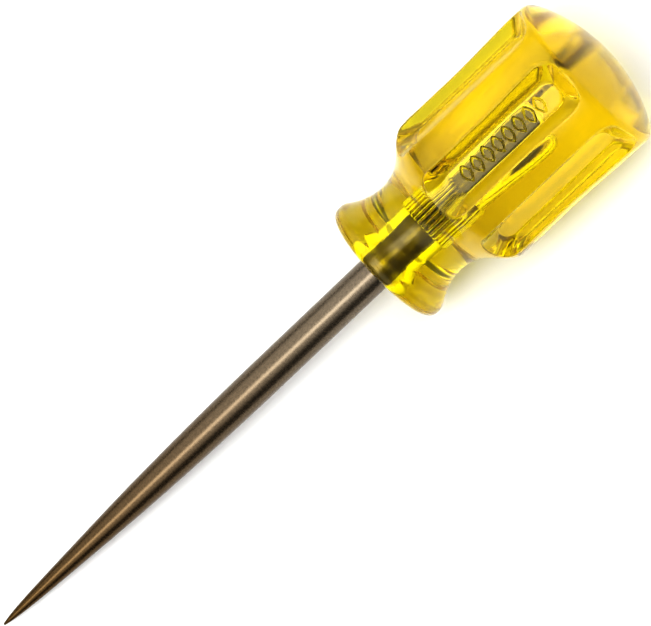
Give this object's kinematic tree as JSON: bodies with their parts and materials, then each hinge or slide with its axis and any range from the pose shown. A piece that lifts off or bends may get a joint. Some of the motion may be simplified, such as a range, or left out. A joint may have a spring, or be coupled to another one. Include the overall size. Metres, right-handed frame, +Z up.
{
  "type": "bookbinding awl",
  "caption": "Hand awl lying on its side: a tapered round steel blade set in a short, clear amber fluted handle with a flared collar and a domed butt.",
  "frame": {"origin": "on the surface the awl lies on, under the middle of its bounding box", "axes": "+X runs from the point to the butt, level with the surface, +Z is up, and the blade's axis lies in the XZ plane, rising 6.5 degrees toward the butt"},
  "size_m": [0.1422, 0.0306, 0.0324],
  "materials": {
    "blade_steel": "satin",
    "amber_acetate": "gloss"
  },
  "bodies": {
    "root": {"blade": "blade_steel", "handle": "amber_acetate"}
  },
  "joints": []
}
